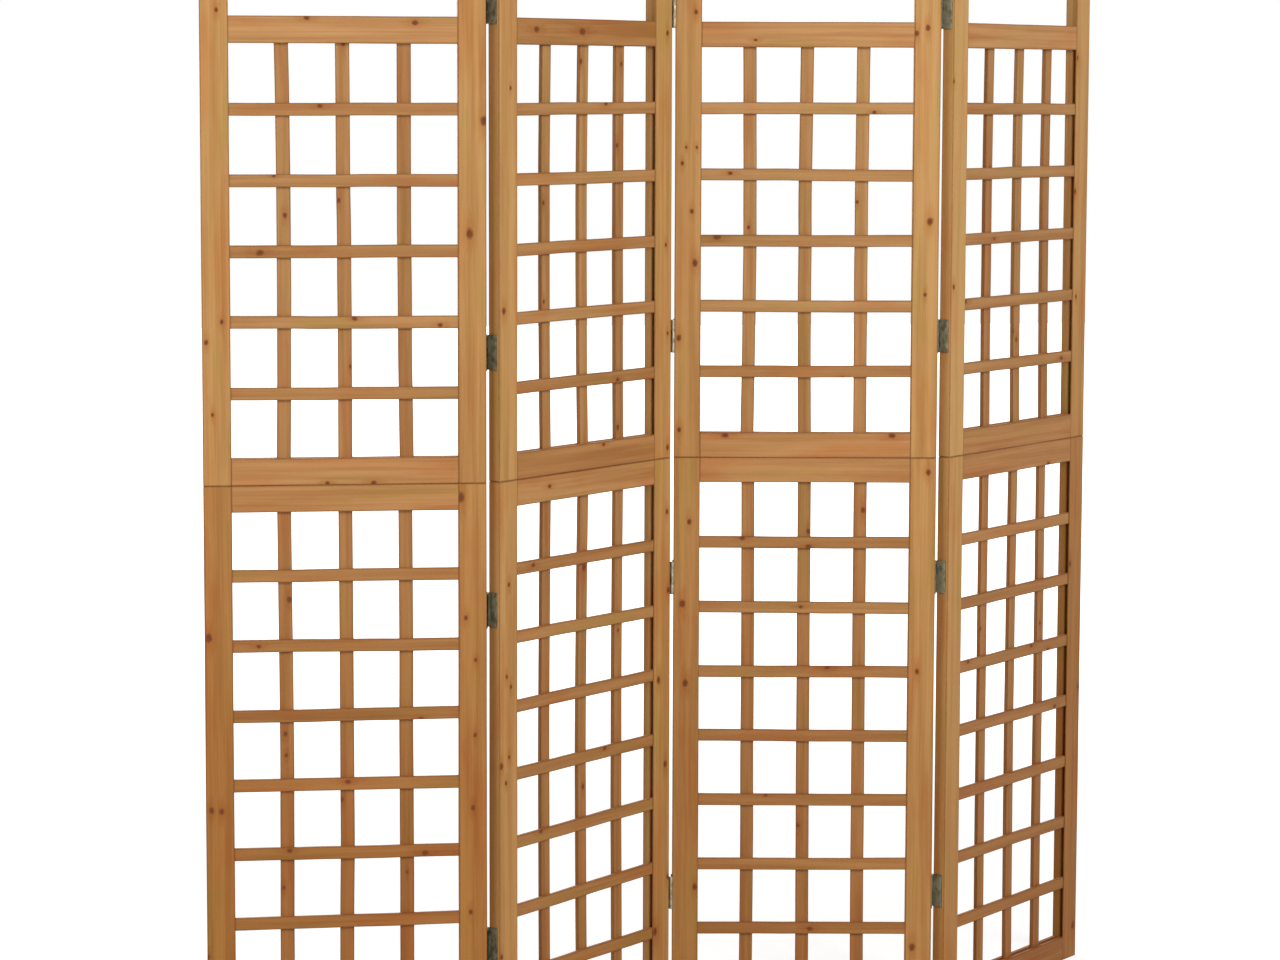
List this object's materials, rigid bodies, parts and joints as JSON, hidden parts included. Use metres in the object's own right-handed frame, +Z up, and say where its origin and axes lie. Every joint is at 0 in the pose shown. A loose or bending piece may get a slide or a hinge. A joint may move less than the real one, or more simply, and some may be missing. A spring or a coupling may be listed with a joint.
{
  "type": "folding lattice room screen",
  "caption": "Free-standing folding screen: hinged softwood panels, each two stacked frames with a square slat lattice and an open band under the top rail.",
  "frame": {"origin": "middle of the part's box, on the floor it stands on", "axes": "+Z up, the longest extent; +X along the first panel from its free edge; +Y from the front of the screen to its back, the shortest extent"},
  "size_m": [1.4078, 0.5478, 1.7203],
  "materials": {
    "fir_stile": "oiled softwood, straight grain with small knots",
    "fir_rail": "oiled softwood, grain along the rail",
    "fir_slat": "oiled softwood slats, slightly darker",
    "zinc_plate": "dull zinc-plated steel"
  },
  "bodies": {
    "panel_1": {"panel_1_lower_left_stile": "fir_stile", "panel_1_lower_right_stile": "fir_stile", "panel_1_lower_bottom_rail": "fir_rail", "panel_1_lower_lattice": "fir_slat", "panel_1_upper_left_stile": "fir_stile", "panel_1_upper_right_stile": "fir_stile", "panel_1_upper_lattice": "fir_slat", "panel_1_upper_middle_rail": "fir_rail", "panel_1_upper_top_rail": "fir_rail", "hinge_1_1_pin_leaf": "zinc_plate", "hinge_1_2_pin_leaf": "zinc_plate", "hinge_1_3_pin_leaf": "zinc_plate", "hinge_1_4_pin_leaf": "zinc_plate"},
    "panel_2": {"panel_2_lower_left_stile": "fir_stile", "panel_2_lower_right_stile": "fir_stile", "panel_2_lower_bottom_rail": "fir_rail", "panel_2_lower_lattice": "fir_slat", "panel_2_upper_left_stile": "fir_stile", "panel_2_upper_right_stile": "fir_stile", "panel_2_upper_lattice": "fir_slat", "panel_2_upper_middle_rail": "fir_rail", "panel_2_upper_top_rail": "fir_rail", "hinge_1_1_turning_leaf": "zinc_plate", "hinge_1_2_turning_leaf": "zinc_plate", "hinge_1_3_turning_leaf": "zinc_plate", "hinge_1_4_turning_leaf": "zinc_plate", "hinge_2_1_pin_leaf": "zinc_plate", "hinge_2_2_pin_leaf": "zinc_plate", "hinge_2_3_pin_leaf": "zinc_plate", "hinge_2_4_pin_leaf": "zinc_plate"},
    "panel_3": {"panel_3_lower_left_stile": "fir_stile", "panel_3_lower_right_stile": "fir_stile", "panel_3_lower_bottom_rail": "fir_rail", "panel_3_lower_lattice": "fir_slat", "panel_3_upper_left_stile": "fir_stile", "panel_3_upper_right_stile": "fir_stile", "panel_3_upper_lattice": "fir_slat", "panel_3_upper_middle_rail": "fir_rail", "panel_3_upper_top_rail": "fir_rail", "hinge_2_1_turning_leaf": "zinc_plate", "hinge_2_2_turning_leaf": "zinc_plate", "hinge_2_3_turning_leaf": "zinc_plate", "hinge_2_4_turning_leaf": "zinc_plate", "hinge_3_1_pin_leaf": "zinc_plate", "hinge_3_2_pin_leaf": "zinc_plate", "hinge_3_3_pin_leaf": "zinc_plate", "hinge_3_4_pin_leaf": "zinc_plate"},
    "panel_4": {"panel_4_lower_left_stile": "fir_stile", "panel_4_lower_right_stile": "fir_stile", "panel_4_lower_bottom_rail": "fir_rail", "panel_4_lower_lattice": "fir_slat", "panel_4_upper_left_stile": "fir_stile", "panel_4_upper_right_stile": "fir_stile", "panel_4_upper_lattice": "fir_slat", "panel_4_upper_middle_rail": "fir_rail", "panel_4_upper_top_rail": "fir_rail", "hinge_3_1_turning_leaf": "zinc_plate", "hinge_3_2_turning_leaf": "zinc_plate", "hinge_3_3_turning_leaf": "zinc_plate", "hinge_3_4_turning_leaf": "zinc_plate"}
  },
  "joints": [
    {"name": "fold_1_2", "type": "hinge", "parent": "panel_1", "child": "panel_2", "pos_m": [-0.30235, -0.25114, 0.86015], "axis": [0, 0, 1], "range_deg": [-45, 135]},
    {"name": "fold_2_3", "type": "hinge", "parent": "panel_2", "child": "panel_3", "pos_m": [0.00071, 0.01572, 0.86015], "axis": [0, 0, 1], "range_deg": [-128, 52]},
    {"name": "fold_3_4", "type": "hinge", "parent": "panel_3", "child": "panel_4", "pos_m": [0.40383, -0.00798, 0.86015], "axis": [0, 0, 1], "range_deg": [-52, 128]}
  ]
}
